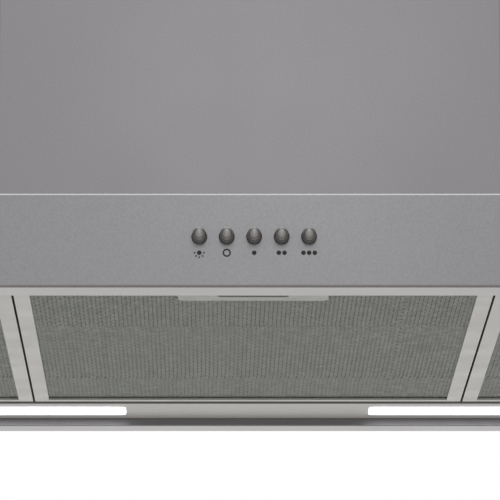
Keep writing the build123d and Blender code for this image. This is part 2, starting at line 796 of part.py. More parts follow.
# Motor box: a sheet-metal chamber over the inlet, open below, with side flanges and a round outlet
def make_motor_box():
    half = box_width / 2
    near = -box_rear - box_depth
    far = -box_rear
    box = block((-half, half), (near, far), (top_face, box_top))
    box = fillet(box.edges().filter_by(Axis.Z), bend_radius)
    flange = block((-half - box_flange, half + box_flange), (near, far), (top_face, top_face + sheet))
    hollow_y = (near + sheet, far - sheet)
    hollow = block((-half + sheet, half - sheet), hollow_y, (top_face - 1, box_top - sheet))
    box = box + flange - hollow
    box = box - upright(0, duct_y, outlet_radius, box_top - 2, box_top + 1)
    for x, y in box_screw_places():
        box = box - upright(x, y, screw_radius + screw_hole_clearance, top_face - 1, top_face + 2)
    for x, y in duct_screw_places():
        box = box - upright(x, y, screw_radius + screw_hole_clearance, box_top - 2, box_top + 1)
    return box


# Scroll outline in the YZ plane: four quarter arcs that shrink by one step each, and a throat going up
def scroll_face(inset, top):
    largest = scroll_radius - inset
    y, z, step = scroll_y, scroll_height, scroll_step
    second, third, fourth = largest - step, largest - 2 * step, largest - 3 * step
    tongue_y = y + scroll_radius - throat + inset
    across = tongue_y - (y - step)
    tongue_z = z + math.sqrt(fourth ** 2 - across ** 2)
    turn = math.degrees(math.asin(across / fourth))
    lines = [Line((y + largest, top), (y + largest, z)),
             CenterArc((y, z), largest, 0, -90),
             CenterArc((y, z - step), second, 270, -90),
             CenterArc((y - step, z - step), third, 180, -90),
             CenterArc((y - step, z), fourth, 90, -turn),
             Line((tongue_y, tongue_z), (tongue_y, top)),
             Line((tongue_y, top), (y + largest, top))]
    return make_face(Curve() + lines)


# A solid from a face drawn in the YZ plane, between two values of X
def along_x(face, left, right):
    return Pos(left, 0, 0) * extrude(Plane.YZ * face, right - left, dir=(1, 0, 0))


# One half of the blower housing: scroll wall, side plate with its eye, and half of the outlet flange
def make_blower_housing(side):
    half = scroll_width / 2
    flange_top = box_top - sheet
    left, right = sorted((0, side * half))
    body = along_x(scroll_face(0, flange_top), left, right)
    across = sorted((0, side * outlet_width / 2))
    body = body + block(across, about(duct_y, outlet_depth), (flange_top - scroll_wall, flange_top))
    left, right = sorted((-side, side * (half - scroll_wall)))
    body = body - along_x(scroll_face(scroll_wall, flange_top + 1), left, right)
    left, right = sorted((side * (half - scroll_wall - eye_lip), side * half))
    body = body + crosswise(wheel_y, wheel_z, eye_radius + scroll_wall, left, right)
    body = body - crosswise(wheel_y, wheel_z, eye_radius, left - 1, right + 1)
    for x, y in duct_screw_places():
        if x * side > 0:
            hole = screw_radius + screw_hole_clearance
            body = body - upright(x, y, hole, flange_top - scroll_wall - 1, flange_top + 1)
    return body


# Fan wheel: a disc and boss on the shaft, with a ring of slanted blades on each side
def make_fan_wheel():
    disc = crosswise(0, 0, wheel_radius, -wheel_disc / 2, wheel_disc / 2)
    boss = crosswise(0, 0, wheel_boss_radius, -wheel_disc / 2 - wheel_boss, wheel_disc / 2)
    rings = []
    for side in (-1, 1):
        left, right = sorted((side * wheel_half_width, side * (wheel_half_width - wheel_disc)))
        ring = crosswise(0, 0, wheel_radius, left, right)
        rings.append(ring - crosswise(0, 0, wheel_radius - wheel_blade, left - 1, right + 1))
    middle = wheel_radius - wheel_blade / 2
    blades = []
    for index in range(wheel_blades):
        blade = Box(2 * wheel_half_width, wheel_blade - 1.5, blade_sheet)
        blades.append(Rot(360 * index / wheel_blades, 0, 0) * Pos(0, middle, 0) * Rot(30, 0, 0) * blade)
    wheel = disc + [boss] + rings + blades
    wheel = wheel - crosswise(0, 0, shaft_radius, -wheel_boss - wheel_disc, wheel_disc)
    return Pos(0, wheel_y, wheel_z) * wheel


# Motor shaft, from the fan wheel's boss into the motor
def make_motor_shaft():
    left = -wheel_boss - wheel_disc
    shaft = crosswise(wheel_y, wheel_z, shaft_radius, left, left + shaft_length)
    return chamfer(shaft.edges().filter_by(GeomType.CIRCLE), 0.5)


# Motor: a can inside the fan wheel, with a boss that the bracket holds
def make_fan_motor():
    can = crosswise(wheel_y, wheel_z, motor_radius, motor_start, motor_end)
    can = fillet(can.edges().filter_by(GeomType.CIRCLE), 3)
    end = scroll_width / 2 + bush_height
    can = can + crosswise(wheel_y, wheel_z, motor_boss_radius, motor_end - 1, end)
    bore_end = shaft_length - wheel_boss - wheel_disc + 1
    return can - crosswise(wheel_y, wheel_z, shaft_radius + shaft_clearance, motor_start - 1, bore_end)


# Angles of the motor bracket's three arms
def arm_angles():
    return [90, 210, 330]


# Motor bracket: a hub and three arms outside the right eye
def make_motor_bracket():
    left = scroll_width / 2 + bush_height
    right = left + bracket_plate
    bracket = crosswise(0, 0, bracket_hub, left, right)
    for angle in arm_angles():
        reach = bush_circle + bush_radius
        bracket = bracket + Rot(angle, 0, 0) * block((left, right), (0, reach), about(0, 2 * bush_radius))
    return Pos(0, wheel_y, wheel_z) * bracket


# Rubber bushes between the bracket's arms and the blower housing
def make_motor_bushes():
    left = scroll_width / 2
    solids = []
    for angle in arm_angles():
        bush = Rot(angle, 0, 0) * crosswise(bush_circle, 0, bush_radius, left, left + bush_height)
        solids.append(Pos(0, wheel_y, wheel_z) * bush)
    return solids


# Duct adaptor: a square plate and a round spigot, with a ledge that the flaps close on
def make_duct_adaptor():
    inner = duct_radius - duct_wall
    plate = block(about(0, outlet_width), about(duct_y, duct_plate_depth), (box_top, duct_base))
    plate = fillet(plate.edges().filter_by(Axis.Z), screw_head_radius)
    adaptor = plate + upright(0, duct_y, duct_radius, duct_base, duct_base + duct_length)
    adaptor = adaptor - upright(0, duct_y, inner, box_top - 1, duct_base + duct_length + 1)
    ledge_top = flap_z - flap_thickness / 2 - flap_gap
    ledge = upright(0, duct_y, inner + duct_wall / 2, ledge_top - ledge_height, ledge_top)
    ledge = ledge - upright(0, duct_y, inner - ledge_width, ledge_top - ledge_height - 1, ledge_top + 1)
    web = block(about(0, 2 * inner), about(duct_y, duct_web), about(flap_z, duct_web_height))
    adaptor = adaptor + ledge + web
    for side in (-1, 1):
        axis_y = duct_y + side * flap_pin_offset
        adaptor = adaptor - crosswise(axis_y, flap_z, flap_pin_radius, -flap_pin_reach, flap_pin_reach)
    for x, y in duct_screw_places():
        adaptor = adaptor - upright(x, y, screw_radius + screw_hole_clearance, box_top - 1, duct_base + 1)
    return adaptor


# Non-return flap: half a disc with two knuckles on its pin
def make_flap(side):
    inner = duct_radius - duct_wall - flap_clearance
    axis_y = duct_y + side * flap_pin_offset
    flap = upright(0, duct_y, inner, flap_z - flap_thickness / 2, flap_z + flap_thickness / 2)
    start = axis_y + side * (flap_pin_radius + 1)
    far = duct_y + side * (duct_radius + 1)
    span = sorted((start, far))
    flap = flap & block((-duct_radius, duct_radius), span, about(flap_z, flap_thickness + 1))
    ledge = inner - ledge_width - knuckle_length
    bore = flap_pin_radius + flap_pin_clearance
    for end in (-1, 1):
        span = sorted((end * ledge, end * (ledge + knuckle_length)))
        flap = flap + crosswise(axis_y, flap_z, knuckle_radius, *span)
        flap = flap - crosswise(axis_y, flap_z, bore, span[0] - 1, span[1] + 1)
    return flap


# Pins of the two flaps, set in the spigot's wall
def make_flap_pins():
    solids = []
    for side in (-1, 1):
        axis_y = duct_y + side * flap_pin_offset
        solids.append(crosswise(axis_y, flap_z, flap_pin_radius, -flap_pin_reach, flap_pin_reach))
    return solids


# Lamp driver under the canopy top
def make_lamp_driver():
    x, y = driver_place
    span = (top_under - driver_size[2], top_under)
    driver = block(about(x, driver_size[0]), about(y, driver_size[1]), span)
    return fillet(driver.edges().filter_by(Axis.Z), 2)


# Terminal box under the canopy top
def make_terminal_box():
    x, y = terminal_place
    span = (top_under - terminal_size[2], top_under)
    box = block(about(x, terminal_size[0]), about(y, terminal_size[1]), span)
    box = fillet(box.edges().filter_by(Axis.Z), 3)
    lid_edges = box.faces().sort_by(Axis.Z)[0].edges()
    return chamfer(lid_edges, 1)


# Motor capacitor under the canopy top
def make_capacitor():
    x, y = capacitor_place
    can = crosswise(y, top_under - capacitor_radius, capacitor_radius, *about(x, capacitor_length))
    can = fillet(can.edges().filter_by(GeomType.CIRCLE), 1.5)
    tongue_x = (x + capacitor_length / 2 - 1, x + capacitor_length / 2 + 8)
    for side in (-1, 1):
        can = can + block(tongue_x, about(y + side * 5, 1), about(top_under - capacitor_radius, 6))
    return can


# Cable gland through the canopy top: a threaded neck, a nut below, a hexagon and a round cap above
def make_cable_gland():
    x, y = gland_place
    neck = gland_radius * 0.75
    low = top_under - gland_height * 0.35
    high = top_face + gland_height * 0.65
    gland = upright(x, y, neck, low, high)
    nut = Pos(x, y, top_under - gland_nut) * extrude(RegularPolygon(gland_radius, 6), gland_nut)
    collar = Pos(x, y, top_face) * extrude(RegularPolygon(gland_radius, 6), gland_collar)
    cap = upright(x, y, gland_radius * 0.9, top_face + gland_collar, high)
    cap = fillet(cap.faces().sort_by(Axis.Z)[-1].edges(), 2)
    return gland + nut + collar + cap - upright(x, y, gland_bore, low - 1, high + 1)


# Screws of the motor box, the duct adaptor and the switch housing, all alike
def make_canopy_screws():
    solids = []
    for x, y in box_screw_places():
        solids.append(Pos(x, y, top_face + sheet) * pan_screw())
    for x, y in duct_screw_places():
        solids.append(Pos(x, y, duct_base) * pan_screw())
    for side in (-1, 1):
        seat = Pos(side * boss_place, boss_end + housing_front, button_height)
        solids.append(seat * Rot(-90, 0, 0) * pan_screw())
    return solids


parts = {
    "canopy_shell": make_canopy_shell(),
    "canopy_top": make_canopy_top(),
    "back_panel": make_back_panel(),
    "light_panel": make_light_panel(),
    "lamp_lens_left": make_lamp_lens(-1),
    "lamp_lens_right": make_lamp_lens(1),
    "lamp_boards": make_lamp_boards(),
    "lamp_driver": make_lamp_driver(),
    "latch_rail": make_latch_rail(),
    "hinge_clips": make_hinge_clips(),
    "switch_housing": make_switch_housing(),
    "switch_board": make_switch_board(),
    "button_springs": make_button_springs(),
    "capacitor": make_capacitor(),
    "terminal_box": make_terminal_box(),
    "cable_gland": make_cable_gland(),
    "inlet_guard": make_inlet_guard(),
    "motor_box": make_motor_box(),
    "blower_housing_left": make_blower_housing(-1),
    "blower_housing_right": make_blower_housing(1),
    "fan_motor": make_fan_motor(),
    "motor_bushes": make_motor_bushes(),
    "motor_bracket": make_motor_bracket(),
    "duct_adaptor": make_duct_adaptor(),
    "flap_pins": make_flap_pins(),
    "lower_flue": make_lower_flue(),
    "canopy_screws": make_canopy_screws(),
    "fan_wheel": make_fan_wheel(),
    "motor_shaft": make_motor_shaft(),
    "flap_front": make_flap(-1),
    "flap_rear": make_flap(1),
    "upper_flue": make_upper_flue(),
    "flue_bracket": make_flue_bracket(),
    "flue_screws": make_flue_screws(),
}
for index, name in enumerate(button_names):
    parts["button_" + name] = make_button(index)
for index, name in enumerate(side_names):
    parts["filter_frame_" + name] = make_filter_frame(index)
    parts["filter_net_" + name] = make_filter_net(index)
    parts["filter_core_" + name] = make_filter_core(index)
    parts["filter_handle_" + name] = make_filter_handle(index)
    parts["latch_slider_" + name] = make_latch_slider(index)
    parts["latch_blade_" + name] = make_latch_blade(index)
    parts["latch_spring_" + name] = make_latch_spring(index)

os.makedirs("parts", exist_ok=True)
for name, part in parts.items():
    pieces = part if isinstance(part, list) else [part]
    solids = [solid for piece in pieces for solid in piece.solids()]
    export_step(Compound(children=solids), "parts/" + name + ".step")
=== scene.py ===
import json
import math

import bpy
import numpy as np
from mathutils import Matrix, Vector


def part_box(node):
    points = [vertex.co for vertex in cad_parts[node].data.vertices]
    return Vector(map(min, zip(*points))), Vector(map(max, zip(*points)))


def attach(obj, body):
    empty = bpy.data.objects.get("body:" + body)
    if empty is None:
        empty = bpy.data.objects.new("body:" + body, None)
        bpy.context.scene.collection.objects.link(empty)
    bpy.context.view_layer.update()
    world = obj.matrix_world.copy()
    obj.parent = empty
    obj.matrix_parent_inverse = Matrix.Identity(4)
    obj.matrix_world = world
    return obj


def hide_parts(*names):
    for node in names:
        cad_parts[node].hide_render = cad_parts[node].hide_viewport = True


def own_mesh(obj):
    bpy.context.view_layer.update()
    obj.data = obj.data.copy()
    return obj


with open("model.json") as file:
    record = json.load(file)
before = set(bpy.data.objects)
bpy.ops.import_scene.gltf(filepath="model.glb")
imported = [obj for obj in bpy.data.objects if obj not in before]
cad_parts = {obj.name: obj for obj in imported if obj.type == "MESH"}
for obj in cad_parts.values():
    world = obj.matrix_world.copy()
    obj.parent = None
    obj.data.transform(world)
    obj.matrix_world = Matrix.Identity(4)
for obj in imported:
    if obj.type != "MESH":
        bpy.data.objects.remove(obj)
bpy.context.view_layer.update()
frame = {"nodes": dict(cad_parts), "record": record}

mm = 0.001  # every size below is in millimetres
filterSides = ("left", "middle", "right")
buttonNames = ("light", "off", "low", "medium", "high")


def boxOf(node):  # low and high corner of a CAD node, in millimetres
    return [np.array(corner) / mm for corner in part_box(node)]


buttonPitch = (boxOf("button_low")[0] - boxOf("button_off")[0])[0]
buttonAcross = {name: (index - (len(buttonNames) - 1) / 2) * buttonPitch
                for index, name in enumerate(buttonNames)}  # x of each button's middle


def linearColor(hexCode):  # sRGB hex to linear
    parts = [int(hexCode[i:i + 2], 16) / 255 for i in (0, 2, 4)]
    return tuple(c / 12.92 if c < 0.04045 else ((c + 0.055) / 1.055) ** 2.4 for c in parts) + (1.0,)


def addNode(tree, kind, inputs=None, **settings):  # one node with its settings and links
    node = tree.nodes.new("ShaderNode" + kind)
    for name, value in settings.items():
        setattr(node, name, value)
    for name, value in (inputs or {}).items():
        if isinstance(value, bpy.types.NodeSocket):
            tree.links.new(value, node.inputs[name])
        else:
            node.inputs[name].default_value = value
    return node


def newMaterial(name):  # an empty node tree and its output
    material = bpy.data.materials.new(name)
    material.use_nodes = True
    tree = material.node_tree
    tree.nodes.clear()
    return material, tree, addNode(tree, "OutputMaterial")


def makeMesh(name, points, faces, smooth=False):  # one mesh object from whole arrays
    mesh = bpy.data.meshes.new(name)
    mesh.from_pydata(points.reshape(-1, 3).tolist(), [], [list(face) for face in faces])
    mesh.polygons.foreach_set("use_smooth", np.broadcast_to(smooth, len(mesh.polygons)).copy())
    mesh.update()
    piece = bpy.data.objects.new(name, mesh)
    bpy.context.scene.collection.objects.link(piece)
    return piece


# Point q of ring k is number k * steps + q, and each quad joins it to the next point and the next ring
def ringFaces(rings, steps):
    k, q = np.meshgrid(np.arange(rings - 1), np.arange(steps), indexing="ij")
    n = (q + 1) % steps
    here, there = k * steps, (k + 1) * steps
    return np.stack([here + q, here + n, there + n, there + q], 2).reshape(-1, 4)


def wear(material, piece):  # give a piece one material
    piece.data.materials.clear()
    piece.data.materials.append(material)


sheetLook = {
    "flakePitch": 0.9,      # real flakes are 0.02 mm, too fine to show, so they are drawn this coarse
    "noiseLow": 0.3,        # the noise's values lie between these two
    "noiseHigh": 0.7,
    "noiseDetail": 4.0,
    "coatRoughness": 0.25,  # of the clear lacquer over enamel
}


# Rolled sheet, bare or enamelled: soft blotches in its gloss, a speckle of flakes in its colour, and,
# where a line of painted shade is given, a darker line near its y and above its z, for the shade in a fold
def sheetMetal(name, color, roughness, blotch, depth, grain=None, flake=0.0, coat=0.0, metallic=1.0,
               paintedShade=None):
    look = sheetLook
    material, tree, output = newMaterial(name)
    place = addNode(tree, "TexCoord").outputs["Object"]
    split = addNode(tree, "SeparateXYZ", {"Vector": place})
    if grain:  # fine lines along one axis, from grinding
        place = addNode(tree, "Mapping", {"Vector": place, "Scale": grain}).outputs["Vector"]
    cloud = addNode(tree, "TexNoise", {"Vector": place, "Scale": 1 / (blotch * mm),
                                       "Detail": look["noiseDetail"]})
    gloss = addNode(tree, "MapRange", {"Value": cloud.outputs["Fac"], "From Min": look["noiseLow"],
                                       "From Max": look["noiseHigh"], "To Min": roughness - depth,
                                       "To Max": roughness + depth})
    shader = addNode(tree, "BsdfPrincipled", {"Base Color": linearColor(color), "Metallic": metallic,
                                              "Roughness": gloss.outputs["Result"], "Coat Weight": coat,
                                              "Coat Roughness": look["coatRoughness"]})
    if flake:
        spots = addNode(tree, "TexNoise", {"Vector": place, "Scale": 1 / (look["flakePitch"] * mm),
                                           "Detail": 0.0})
        tint = addNode(tree, "ValToRGB", {"Fac": spots.outputs["Fac"]})
        ends = zip(tint.color_ramp.elements, (look["noiseLow"], look["noiseHigh"]), (1 - flake, 1 + flake))
        for end, position, share in ends:
            end.position = position
            end.color = tuple(c * share for c in linearColor(color)[:3]) + (1.0,)
        paint = tint.outputs["Color"]
        # painted shade: the colour is darkened in a line along a fold, where shade falls
        if paintedShade:
            near = addNode(tree, "Math", {0: split.outputs["Y"], 1: paintedShade["y"] * mm,
                                          2: paintedShade["reach"] * mm}, operation="COMPARE")
            above = addNode(tree, "Math", {0: split.outputs["Z"], 1: paintedShade["z"] * mm},
                            operation="GREATER_THAN")
            both = addNode(tree, "Math", {0: near.outputs["Value"], 1: above.outputs["Value"]},
                           operation="MULTIPLY")
            kept = addNode(tree, "Math", {0: both.outputs["Value"], 1: -paintedShade["darker"], 2: 1.0},
                           operation="MULTIPLY_ADD")
            paint = addNode(tree, "VectorMath", {0: paint, "Scale": kept.outputs["Value"]},
                            operation="SCALE").outputs["Vector"]
        tree.links.new(paint, shader.inputs["Base Color"])
    tree.links.new(shader.outputs["BSDF"], output.inputs["Surface"])
    return material


cupLook = {
    "outside": "919291",
    # painted light: the cup's inside is paler than the plate, for light reaching into the slot
    "inside": "aeaeac",
    "roughness": 0.38,
    "spread": 0.04,         # of the roughness
    "blotch": 15,
    "skin": 0.1,            # the painted light inside starts this far above the plate's face
    "bare": 0.9,            # share of the metallic look lost inside, for the painted light
}


# Pressed aluminium plate: rolled bright outside, with painted light inside the finger cup: paler and matt
# there
def pressedCup(name):
    look = cupLook
    material, tree, output = newMaterial(name)
    place = addNode(tree, "TexCoord").outputs["Object"]
    cloud = addNode(tree, "TexNoise", {"Vector": place, "Scale": 1 / (look["blotch"] * mm),
                                       "Detail": sheetLook["noiseDetail"]})
    gloss = addNode(tree, "MapRange", {"Value": cloud.outputs["Fac"], "From Min": sheetLook["noiseLow"],
                                       "From Max": sheetLook["noiseHigh"],
                                       "To Min": look["roughness"] - look["spread"],
                                       "To Max": look["roughness"] + look["spread"]})
    split = addNode(tree, "SeparateXYZ", {"Vector": place})
    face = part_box("filter_handle_middle")[0].z
    # painted light: above the plate's face, inside the cup
    paintedLightArea = addNode(tree, "Math", {0: split.outputs["Z"], 1: face + look["skin"] * mm},
                     operation="GREATER_THAN")
    tint = addNode(tree, "ValToRGB", {"Fac": paintedLightArea.outputs["Value"]})
    tint.color_ramp.elements[0].color = linearColor(look["outside"])
    tint.color_ramp.elements[1].color = linearColor(look["inside"])
    metal = addNode(tree, "Math", {0: paintedLightArea.outputs["Value"], 1: -look["bare"], 2: 1.0},
                    operation="MULTIPLY_ADD")
    shader = addNode(tree, "BsdfPrincipled", {"Base Color": tint.outputs["Color"],
                                              "Metallic": metal.outputs["Value"],
                                              "Roughness": gloss.outputs["Result"]})
    tree.links.new(shader.outputs["BSDF"], output.inputs["Surface"])
    return material


nickelLook = {
    "paintedHighlight": "8a8886",
    "plated": "4e4d4c",
    "roughness": 0.34,
    "metallic": 0.7,
    "tall": 3.2,            # the painted highlight is this many times taller than wide
    "reach": 4.2,           # from the painted highlight's middle to the plain plating
}


# Dark nickel plating on a turned bar, with a painted highlight: an upright brighter spot on every button,
# darker towards its sides
def nickelWithPaintedHighlight(name):
    look = nickelLook
    material, tree, output = newMaterial(name)
    low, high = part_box("button_off")
    half = buttonPitch / 2 * mm
    place = addNode(tree, "TexCoord").outputs["Object"]
    split = addNode(tree, "SeparateXYZ", {"Vector": place})
    across = addNode(tree, "Math", {0: split.outputs["X"], 1: half, 2: -half}, operation="WRAP")
    up = addNode(tree, "Math", {0: split.outputs["Z"], 1: (low.z + high.z) / 2}, operation="SUBTRACT")
    up = addNode(tree, "Math", {0: up.outputs["Value"], 1: look["tall"]}, operation="DIVIDE")
    flat = addNode(tree, "CombineXYZ", {"X": across.outputs["Value"], "Y": up.outputs["Value"]})
    away = addNode(tree, "VectorMath", {0: flat.outputs["Vector"]}, operation="LENGTH")
    share = addNode(tree, "MapRange", {"Value": away.outputs["Value"], "From Min": 0.0,
                                       "From Max": look["reach"] * mm})
    # painted highlight: bright in the spot's middle, falling to the dark plating at the sides
    tint = addNode(tree, "ValToRGB", {"Fac": share.outputs["Result"]})
    tint.color_ramp.interpolation = "EASE"
    tint.color_ramp.elements[0].color = linearColor(look["paintedHighlight"])
    tint.color_ramp.elements[1].color = linearColor(look["plated"])
    shader = addNode(tree, "BsdfPrincipled", {"Base Color": tint.outputs["Color"],
                                              "Metallic": look["metallic"],
                                              "Roughness": look["roughness"]})
    tree.links.new(shader.outputs["BSDF"], output.inputs["Surface"])
    return material


grainLook = {
    "strength": 0.25,
    "height": 0.2,          # of the grain, as a share of the grit
    "detail": 2.0,
}


# Moulded plastic: the mould's spark-eroded grain as a bump of the grit's real size, a soft even sheen
def mouldedPlastic(name, color, roughness, grit):
    look = grainLook
    material, tree, output = newMaterial(name)
    place = addNode(tree, "TexCoord").outputs["Object"]
    grain = addNode(tree, "TexNoise", {"Vector": place, "Scale": 1 / (grit * mm),
                                       "Detail": look["detail"]})
    bump = addNode(tree, "Bump", {"Height": grain.outputs["Fac"], "Strength": look["strength"],
                                  "Distance": look["height"] * grit * mm})
    shader = addNode(tree, "BsdfPrincipled", {"Base Color": linearColor(color), "Roughness": roughness,
                                              "Normal": bump.outputs["Normal"]})
    tree.links.new(shader.outputs["BSDF"], output.inputs["Surface"])
    return material


diffuserLook = {
    "plastic": "f4f4f1",
    "light": "f4f5ff",
    "roughness": 0.35,
    "chipPitch": 24,        # from chip to chip on the lamp board
    "overChip": 3.0,        # glow, where 1 shows as white
    "betweenChips": 2.6,
}


# Opal acrylic, lit from inside by a row of chips: glowing white, a little brighter over every chip
def opalDiffuser(name):
    look = diffuserLook
    material, tree, output = newMaterial(name)
    place = addNode(tree, "TexCoord").outputs["Object"]
    across = addNode(tree, "SeparateXYZ", {"Vector": place}).outputs["X"]
    half = look["chipPitch"] / 2 * mm
    chips = addNode(tree, "Math", {0: across, 1: half}, operation="PINGPONG")
    glow = addNode(tree, "MapRange", {"Value": chips.outputs["Value"], "From Max": half,
                                      "To Min": look["overChip"], "To Max": look["betweenChips"]})
    shader = addNode(tree, "BsdfPrincipled", {"Base Color": linearColor(look["plastic"]),
                                              "Roughness": look["roughness"],
                                              "Emission Color": linearColor(look["light"]),
                                              "Emission Strength": glow.outputs["Result"]})
    tree.links.new(shader.outputs["BSDF"], output.inputs["Surface"])
    return material


layersLook = {
    "edge": "cfd1cd",
    "hollow": "a4a6a3",
    "cell": 2.6,            # of the folded mesh
    "edgeShare": 0.25,      # of a cell, over which its colour falls
    "height": 1.5,
    "metallic": 0.3,
    "roughness": 0.5,
}


# Layers of expanded aluminium pressed together: pale strands round small cells at all depths, painted
# shade in each cell
def packedLayers(name):
    look = layersLook
    material, tree, output = newMaterial(name)
    place = addNode(tree, "TexCoord").outputs["Object"]
    cells = addNode(tree, "TexVoronoi", {"Vector": place, "Scale": 1 / (look["cell"] * mm)},
                    feature="DISTANCE_TO_EDGE")
    # painted shade: each cell darkens towards its middle, where depth would be in shade
    shade = addNode(tree, "ValToRGB", {"Fac": cells.outputs["Distance"]})
    shade.color_ramp.elements[0].color = linearColor(look["edge"])
    shade.color_ramp.elements[1].color = linearColor(look["hollow"])
    shade.color_ramp.elements[1].position = look["edgeShare"]
    bump = addNode(tree, "Bump", {"Height": cells.outputs["Distance"], "Strength": 1.0,
                                  "Distance": look["height"] * mm}, invert=True)
    shader = addNode(tree, "BsdfPrincipled", {"Base Color": shade.outputs["Color"],
                                              "Metallic": look["metallic"],
                                              "Roughness": look["roughness"],
                                              "Normal": bump.outputs["Normal"]})
    tree.links.new(shader.outputs["BSDF"], output.inputs["Surface"])
    return material


panelLow, panelHigh = boxOf("light_panel")
netHigh = boxOf("filter_net_middle")[1]
paintedShadeLines = {  # where painted shade darkens a line in a fold or at a lip, and by what share of its colour
    "rim": {"y": panelHigh[1] + 0.2, "z": 0.8, "darker": 0.3, "reach": 0.5},
    "panel": {"y": panelLow[1], "z": panelLow[2] + 0.25, "darker": 0.78, "reach": 0.9},
    "bar": {"y": netHigh[1] - 5.5, "z": panelLow[2] + 0.3, "darker": 0.2, "reach": 0.3},
}
finishes = {
    # sprayed satin enamel: a soft grey sheen with a faint metal sparkle, and painted shade in a line on
    # the step behind the lamp panel
    "canopy_steel": sheetMetal("satinEnamelOnCanopy", "7f7e80", 0.36, 60, 0.02, flake=0.05, coat=0.8,
                               paintedShade=paintedShadeLines["rim"]),
    "flue_steel": sheetMetal("satinEnamelOnFlue", "7d7b7d", 0.36, 70, 0.02, flake=0.05, coat=0.6),
    # hot-dip zinc: pale, with patches of uneven gloss
    "zinc_steel": sheetMetal("zincCoatedSheet", "a9abad", 0.42, 9, 0.12),
    # rolled and folded aluminium: light and evenly matt, with painted shade in a line at the rear bar's
    # lip
    "filter_steel": sheetMetal("foldedAluminiumFrame", "bcbdbc", 0.40, 20, 0.05, flake=0.02,
                               paintedShade=paintedShadeLines["bar"]),
    "handle_steel": pressedCup("pressedAluminium"),
    # slit and stretched aluminium: dull and slightly green, each strand a little different
    "net_aluminium": sheetMetal("expandedAluminium", "686d6a", 0.45, 4, 0.08),
    "core_aluminium": packedLayers("packedExpandedAluminium"),
    "button_metal": nickelWithPaintedHighlight("satinNickelTurned"),
    # drawn spring wire and strip: bright and nearly smooth
    "spring_steel": sheetMetal("brightSpringSteel", "a8aaac", 0.25, 8, 0.04),
    # zinc-plated screws: the brightest metal here
    "screw_steel": sheetMetal("platedScrewSteel", "b9bbbd", 0.22, 3, 0.05),
    # ground bar: fine lines round the shaft
    "shaft_steel": sheetMetal("groundShaftSteel", "b0b0b2", 0.20, 4, 0.04, grain=(6.0, 1.0, 1.0)),
    # baked enamel on the motor can: nearly black, with a soft shine
    "motor_paint": sheetMetal("bakedMotorEnamel", "3a3a3c", 0.40, 12, 0.05),
    "lamp_diffuser": opalDiffuser("opalDiffuser"),
    # lacquered glass-fibre board: deep green and rather glossy
    "circuit_board": mouldedPlastic("greenBoardLacquer", "2a5a36", 0.35, 1.2),
    # moulded ABS, polypropylene and rubber: from a soft sheen to fully matt
    "black_plastic": mouldedPlastic("mouldedBlackPlastic", "1b1b1c", 0.50, 0.8),
    "grey_plastic": mouldedPlastic("mouldedGreyPlastic", "8d8f91", 0.48, 0.8),
    "black_rubber": mouldedPlastic("softBlackRubber", "171717", 0.75, 0.6),
    "wheel_plastic": mouldedPlastic("filledGreyPlastic", "4c4f52", 0.55, 0.9),
    "flap_plastic": mouldedPlastic("flapBlackPlastic", "202021", 0.50, 0.8),
}
# The lamp panel shares the canopy's slot, but its enamel is paler, thinner and less metallic, with painted
# shade on its front fold
lampPanelFinish = sheetMetal("enamelOnLampPanel", "b6b7b8", 0.45, 50, 0.03, flake=0.04, coat=0.3,
                             metallic=0.45, paintedShade=paintedShadeLines["panel"])
slotOf = {entry["node"]: entry["material_slot"] for entry in frame["record"]["subparts"]}
for node, obj in frame["nodes"].items():
    wear(lampPanelFinish if node == "light_panel" else finishes[slotOf[node]], obj)
print("finishes on", len(frame["nodes"]), "CAD nodes")


netSizes = {
    "pitchAcross": 5.2,     # short way of a diamond
    "pitchDeep": 10.7,      # long way of a diamond
    "openingAcross": ((0.5, 0.5), (0.18, 0.5), (0.18, 0.28)),  # front and rear of each row of sheets
    "openingDeep": 7.3,
    "ridge": 0.12,          # strands are this much rounded
    "lean": 0.08,           # rear tip of an opening is pressed this much upwards
    "sheetAcross": 183.0,   # the net is lapped from sheets of this size
    "sheetDeep": 173.8,
    "firstSheet": 128.3,    # depth of the foremost sheet
    "lap": 0.06,            # height between lapped sheets
    "shiftAcross": 0.8,     # of every other row of sheets
    "shiftDeep": 0.9,       # of each row of sheets
    "margin": 3.0,          # net left off under the frame, all round
    "rearMargin": 6.2,
    "cupInsetAcross": 2.0,  # the handle's plate lies over the net by this much less its gap
    "cupInsetDeep": 1.2,
    "cupGap": 0.4,
}


